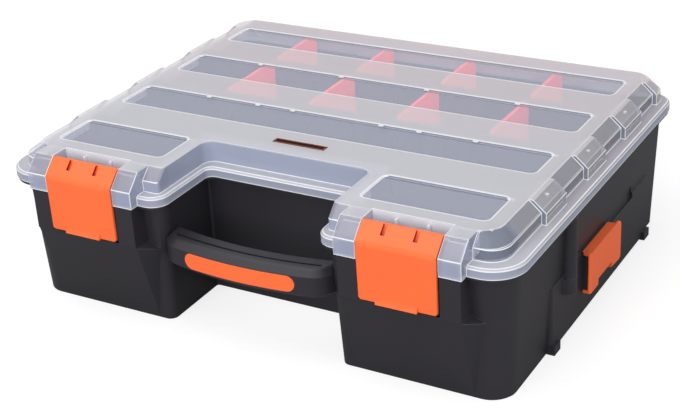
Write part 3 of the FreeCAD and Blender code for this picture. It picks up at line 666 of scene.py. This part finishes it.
# The bow of the handle in plan, and how far its groove and its inlay reach
handleEdgePlaces = {
    "bowMiddle": 0.154,
    "bowRadius": 0.3095,
    "grooveReach": 0.0030,
    "grooveEnd": 0.0612,
    "inlayMiddle": 0.0636,
    "inlayReach": 0.0080,
}


# The handle's long edges, without the groove and the inlay
def handleLongEdges(places):
    marks = Marks("handleLongEdges")
    x, y, z = marks.place()
    out = x.hypot(y - places["bowMiddle"])
    clear = abs(out - places["bowRadius"]).above(places["grooveReach"])
    clear = clear.atLeast(abs(x).above(places["grooveEnd"]))
    clear = clear * abs(z - places["inlayMiddle"]).above(places["inlayReach"])
    return marks.weigh(clear * marks.sharper(edgeAngles["sharp"]))


tubEdgePlaces = {
    "footSide": 0.1975,
    "footTop": 0.0110,
    "lugSide": 0.2030,
    "lugRow": -0.0212,
    "lugReach": 0.0040,
}


# The sharp edges of the tub, apart from those of its feet and of the lugs that hold the clips
def tubSharpEdges(places):
    marks = Marks("tubSharpEdges")
    x, y, z = marks.place()
    foot = abs(x).above(places["footSide"]) * z.below(places["footTop"])
    lug = abs(x).above(places["lugSide"]) * abs(y - places["lugRow"]).below(places["lugReach"])
    return marks.weigh(marks.sharper(edgeAngles["sharp"]) * (1 - foot) * (1 - lug))


latchEdgePlaces = {
    "creaseY": -0.1705,
    "creaseZ": 0.1124,
    "reach": 0.0009,
    "flattest": 0.30,
    "sharpest": 1.00,
}


# The crease of a latch, where its slope turns down to its front
def latchCrease(places):
    marks = Marks("latchCrease")
    y, z = marks.place()[1:]
    near = abs(y - places["creaseY"]).atLeast(abs(z - places["creaseZ"])).below(places["reach"])
    return marks.weigh(near * marks.sharper(places["flattest"]) * (1 - marks.sharper(places["sharpest"])))


clipEdgePlaces = {"outerFace": 0.2110}


# The edges of a clip's outer face
def clipOuterEdges(places):
    marks = Marks("clipOuterEdges")
    x = marks.place()[0]
    return marks.weigh(abs(x).above(places["outerFace"]) * marks.sharper(edgeAngles["sharp"]))


moulded = smoothGroup("smoothMoulded", edgeAngles["smooth"])
lidMoulded = smoothGroup("smoothLid", edgeAngles["smooth"], cadBox[1][2])
latchRounding = [
    {"width": 0.0030, "segments": 4, "marks": latchCrease(latchEdgePlaces)},
    {"width": 0.0005, "segments": 2},
]
clipRounding = [{"width": 0.0014, "segments": 4, "marks": clipOuterEdges(clipEdgePlaces)}]

# Edge rounding for the pieces that show, in metres and in the order in which it is done. A row with marks
# rounds the edges that its group weighs, and one without rounds every sharp edge
edgeRounding = {
    "base_shell": [{"width": 0.0005, "segments": 2, "marks": tubSharpEdges(tubEdgePlaces)}],
    "lid_shell": [
        {"width": 0.0010, "segments": 4, "marks": lidTopEdges(lidEdgePlaces)},
        # The fine rounding of the lid carries the painted edge highlight
        {"width": 0.00045, "segments": 2, "marks": lidFineEdges(lidEdgePlaces), "finish": lidEdgeHighlightFinish},
    ],
    "carry_handle": [{"width": 0.0018, "segments": 4, "marks": handleLongEdges(handleEdgePlaces)}],
    "handle_inlay": [{"width": 0.0003, "segments": 2}],
    "latch_left": latchRounding,
    "latch_right": latchRounding,
    "side_clip_left": clipRounding,
    "side_clip_right": clipRounding,
}

# What is merged before the rounding, in metres and radians, and how shading leans to large faces after it
edgeCleaning = {"weld": 0.00001, "flat": math.radians(0.5), "lean": 100}


def roundEdges(piece, row):
    if "marks" in row:
        marks = piece.modifiers.new("marks", "NODES")
        marks.node_group = row["marks"]
    bevel = piece.modifiers.new("rounding", "BEVEL")
    bevel.width = row["width"]
    bevel.segments = row["segments"]
    bevel.use_clamp_overlap = "marks" not in row
    if "marks" in row:
        bevel.limit_method = "WEIGHT"
    else:
        bevel.limit_method = "ANGLE"
        bevel.angle_limit = edgeAngles["smooth"]
    if "finish" in row:
        bevel.material = len(piece.data.materials)
        piece.data.materials.append(row["finish"])


def softenEdges(piece, rows, smoothing, cleaning):
    weld = piece.modifiers.new("weld", "WELD")
    weld.merge_threshold = cleaning["weld"]
    flats = piece.modifiers.new("flats", "DECIMATE")
    flats.decimate_type = "DISSOLVE"
    flats.angle_limit = cleaning["flat"]
    for row in rows:
        roundEdges(piece, row)
    smooth = piece.modifiers.new("smooth", "NODES")
    smooth.node_group = smoothing
    level = piece.modifiers.new("level", "WEIGHTED_NORMAL")
    level.weight = cleaning["lean"]
    level.keep_sharp = True


for row in frame["record"]["subparts"]:
    name = row["node"]
    piece = nodes[name]
    piece.data.materials.clear()
    piece.data.materials.append(finishes[row["material_slot"]])
    smoothing = lidMoulded if name == "lid_shell" else moulded
    softenEdges(piece, edgeRounding.get(name, []), smoothing, edgeCleaning)
print("pieces finished:", len(nodes))


# Raises a wave to a power and keeps its sign
def swell(wave, power):
    return np.sign(wave) * np.abs(wave) ** power


# Small rounded blocks: on each block the cosines and sines of two angles are raised to a small power, so that
# a ball swells out into a box with soft edges, then is stretched to the block's half sizes
def roundedBlocks(name, places, half, power=0.3, around=16, upward=9):
    turn = np.linspace(-np.pi, np.pi, around, endpoint=False)
    tilt = np.linspace(-np.pi / 2, np.pi / 2, upward)[:, None]
    level = swell(np.cos(tilt), power)
    height = np.broadcast_to(swell(np.sin(tilt), power), (upward, around))
    ball = np.stack([level * swell(np.cos(turn), power), level * swell(np.sin(turn), power), height], axis=-1)
    ball = ball.reshape(-1, 3) * np.array(half)
    points = (np.array(places)[:, None, :] + ball[None]).reshape(-1, 3)
    ring, step = np.meshgrid(np.arange(upward - 1), np.arange(around), indexing="ij")
    corner = (ring * around + step).ravel()
    nextTo = (ring * around + (step + 1) % around).ravel()
    quads = np.stack([corner, nextTo, nextTo + around, corner + around], axis=1)
    faces = (quads[None] + (np.arange(len(places)) * len(ball))[:, None, None]).reshape(-1, 4)
    mesh = bpy.data.meshes.new(name)
    mesh.from_pydata(points.tolist(), [], faces.tolist())
    mesh.shade_smooth()
    piece = bpy.data.objects.new(name, mesh)
    bpy.context.scene.collection.objects.link(piece)
    return piece


# Ribs behind the latches, small tabs along the rear edges of two windows, and ticks on the sides
sides = (-1, 1)
lidDetails = {
    "lid_ribs": {
        "places": [(side * (0.1305 + step * 0.012), -0.1443, 0.1183) for side in sides for step in sides],
        "half": (0.0009, 0.0016, 0.0032),
    },
    "lid_tabs": {
        "places": [(side * x, -0.0158, 0.1242) for side in sides for x in (0.039, 0.071, 0.117)]
        + [(side * x, 0.0615, 0.1242) for side in sides for x in (0.039, 0.117)],
        "half": (0.0022, 0.0012, 0.00045),
    },
    "lid_ticks": {
        "places": [(side * 0.1955, y, 0.1213) for side in sides for y in (0.0827, 0.00545, -0.0718)],
        "half": (0.0012, 0.0007, 0.0009),
    },
}


def makeLidDetails(details):
    for name, row in details.items():
        piece = roundedBlocks(name, row["places"], row["half"])
        # The small blocks carry the painted edge highlight
        piece.data.materials.append(lidEdgeHighlightFinish)
        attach(piece, "lid")


makeLidDetails(lidDetails)
print("lid details made")

# Floor, sky and lamps. The floor glows for the camera alone. The sky is white for the camera and in
# reflections, and weaker as a light
studio = {
    "floorSize": 12.0,
    "floorColour": (0.32, 0.32, 0.32, 1.0),
    "floorGlow": 0.74,
    "white": (1.0, 1.0, 1.0, 1.0),
    "skyLight": (0.58, 1.0),
    "aim": (0.0, 0.0, 0.06),
    "lamps": [
        {"name": "softboxTop", "place": (-0.35, -0.55, 1.7), "size": 1.3, "power": 10.0},
        {"name": "softboxFront", "place": (0.1, -2.2, 0.9), "size": 1.4, "power": 30.0, "mirrored": False},
        {"name": "softboxSide", "place": (2.1, -0.3, 0.8), "size": 1.4, "power": 12.0},
    ],
}


def makeFloor(settings):
    half = settings["floorSize"] / 2
    mesh = bpy.data.meshes.new("floor")
    corners = [(-half, -half, 0), (half, -half, 0), (half, half, 0), (-half, half, 0)]
    mesh.from_pydata(corners, [], [(0, 1, 2, 3)])
    floor = bpy.data.objects.new("floor", mesh)
    bpy.context.scene.collection.objects.link(floor)
    finish = Finish("floorPaper")
    strength = settings["floorGlow"] * finish.node("ShaderNodeLightPath", output="Is Camera Ray")
    paper = finish.node("ShaderNodeBsdfDiffuse", None, {"Color": settings["floorColour"]})
    glow = finish.node("ShaderNodeEmission", None, {"Color": settings["white"], "Strength": strength})
    mesh.materials.append(finish.done(finish.node("ShaderNodeAddShader", None, {0: paper, 1: glow})))


def makeWorld(settings):
    world = bpy.data.worlds.new("studio")
    world.use_nodes = True
    sky = NodeTree(world.node_tree)
    seen = sky.node("ShaderNodeLightPath", output="Is Camera Ray")
    for ray in ("Is Glossy Ray", "Is Transmission Ray"):
        seen = seen.atLeast(sky.node("ShaderNodeLightPath", output=ray))
    inputs = {"Color": settings["white"], "Strength": seen.spread(*settings["skyLight"])}
    sky.node("ShaderNodeOutputWorld", None, {"Surface": sky.node("ShaderNodeBackground", None, inputs)})
    bpy.context.scene.world = world


def makeLamps(settings):
    for row in settings["lamps"]:
        lamp = bpy.data.lights.new(row["name"], "AREA")
        lamp.shape = "SQUARE"
        lamp.size = row["size"]
        lamp.energy = row["power"]
        holder = bpy.data.objects.new(row["name"], lamp)
        holder.location = row["place"]
        holder.visible_glossy = row.get("mirrored", True)
        aim = Vector(settings["aim"]) - holder.location
        holder.rotation_euler = aim.to_track_quat("-Z", "Y").to_euler()
        bpy.context.scene.collection.objects.link(holder)


makeFloor(studio)
makeWorld(studio)
makeLamps(studio)
bpy.context.scene.view_settings.view_transform = "Standard"
print("studio set")

# Camera fitted to the photograph's frame of 680 by 408. Focal length and axis are in its pixels
photoCamera = {
    "place": (0.53115, -0.90274, 0.55650),
    "turn": (63.8596, 3.0662, 29.2411),
    "focal": 1461.24,
    "frame": (680, 408),
    "axis": (345.456, 204.568),
    "sensor": 36.0,
    "nearest": 0.01,
}


def makeCamera(settings):
    width, height = settings["frame"]
    lens = bpy.data.cameras.new("photoCamera")
    lens.sensor_width = settings["sensor"]
    lens.lens = settings["focal"] * settings["sensor"] / width
    lens.shift_x = (width / 2 - settings["axis"][0]) / width
    lens.shift_y = (settings["axis"][1] - height / 2) / width
    lens.clip_start = settings["nearest"]
    holder = bpy.data.objects.new("photoCamera", lens)
    holder.location = settings["place"]
    holder.rotation_euler = Euler([math.radians(angle) for angle in settings["turn"]], "XYZ")
    bpy.context.scene.collection.objects.link(holder)
    bpy.context.scene.camera = holder


makeCamera(photoCamera)
